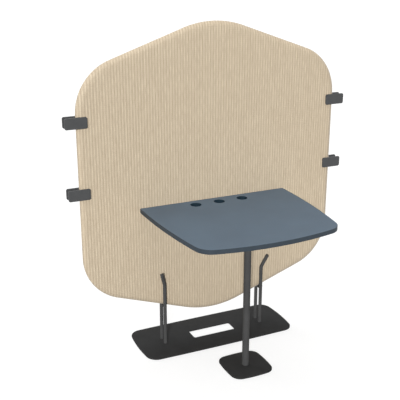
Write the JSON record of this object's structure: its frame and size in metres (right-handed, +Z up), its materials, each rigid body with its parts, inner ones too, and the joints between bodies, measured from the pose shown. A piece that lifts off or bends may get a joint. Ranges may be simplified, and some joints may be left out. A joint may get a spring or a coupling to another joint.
{
  "type": "desk with privacy screen",
  "caption": "Small desk on a single column, hung on a tall upholstered screen with a rounded six-sided outline that stands between rods on a slotted base plate, with clips at its edges.",
  "frame": {"origin": "on the floor, under the middle of the object's box", "axes": "+Z up, +X to the right as seen from the seat, +Y from the seat towards the screen"},
  "size_m": [1.4046, 0.7899, 1.543],
  "materials": {
    "ribbed_fabric": "matte woven ribs",
    "foam": "matte",
    "core_board": "raw board",
    "plate_black": "matte powder coat",
    "rod_graphite": "matte powder coat",
    "clip_plastic": "matte",
    "desk_laminate": "matte laminate",
    "edge_band": "matte",
    "fastener_steel": "satin",
    "insert_brass": "satin",
    "pad_rubber": "matte"
  },
  "bodies": {
    "stand": {"screen_core_board": "core_board", "screen_front_foam": "foam", "screen_rear_foam": "foam", "screen_front_cover": "ribbed_fabric", "screen_rear_cover": "ribbed_fabric", "screen_threaded_inserts": "insert_brass", "screen_bolt_spacers": "fastener_steel", "base_plate": "plate_black", "base_plate_pads": "pad_rubber", "front_left_rod": "rod_graphite", "front_right_rod": "rod_graphite", "rear_left_rod": "rod_graphite", "rear_right_rod": "rod_graphite", "rod_screws": "fastener_steel", "left_saddle": "rod_graphite", "right_saddle": "rod_graphite", "desk_top": "desk_laminate", "desk_edge_band": "edge_band", "left_rear_bracket": "rod_graphite", "right_rear_bracket": "rod_graphite", "bracket_bolts": "fastener_steel", "bracket_wood_screws": "fastener_steel", "column_tube": "rod_graphite", "column_top_flange": "rod_graphite", "flange_wood_screws": "fastener_steel", "column_foot_plug": "fastener_steel", "foot_plate": "plate_black", "foot_bolt": "fastener_steel", "foot_plate_pads": "pad_rubber"},
    "upper_left_clip": {"upper_left_clip": "clip_plastic"},
    "upper_right_clip": {"upper_right_clip": "clip_plastic"},
    "lower_left_clip": {"lower_left_clip": "clip_plastic"},
    "lower_right_clip": {"lower_right_clip": "clip_plastic"}
  },
  "joints": [
    {"name": "upper_left_clip_slide", "type": "slide", "parent": "stand", "child": "upper_left_clip", "axis": [0, 0, 1], "range_m": [-0.134, 0.004]},
    {"name": "upper_right_clip_slide", "type": "slide", "parent": "stand", "child": "upper_right_clip", "axis": [0, 0, 1], "range_m": [-0.134, 0.004]},
    {"name": "lower_left_clip_slide", "type": "slide", "parent": "stand", "child": "lower_left_clip", "axis": [0, 0, 1], "range_m": [-0.278, 0.134]},
    {"name": "lower_right_clip_slide", "type": "slide", "parent": "stand", "child": "lower_right_clip", "axis": [0, 0, 1], "range_m": [-0.278, 0.134]}
  ]
}
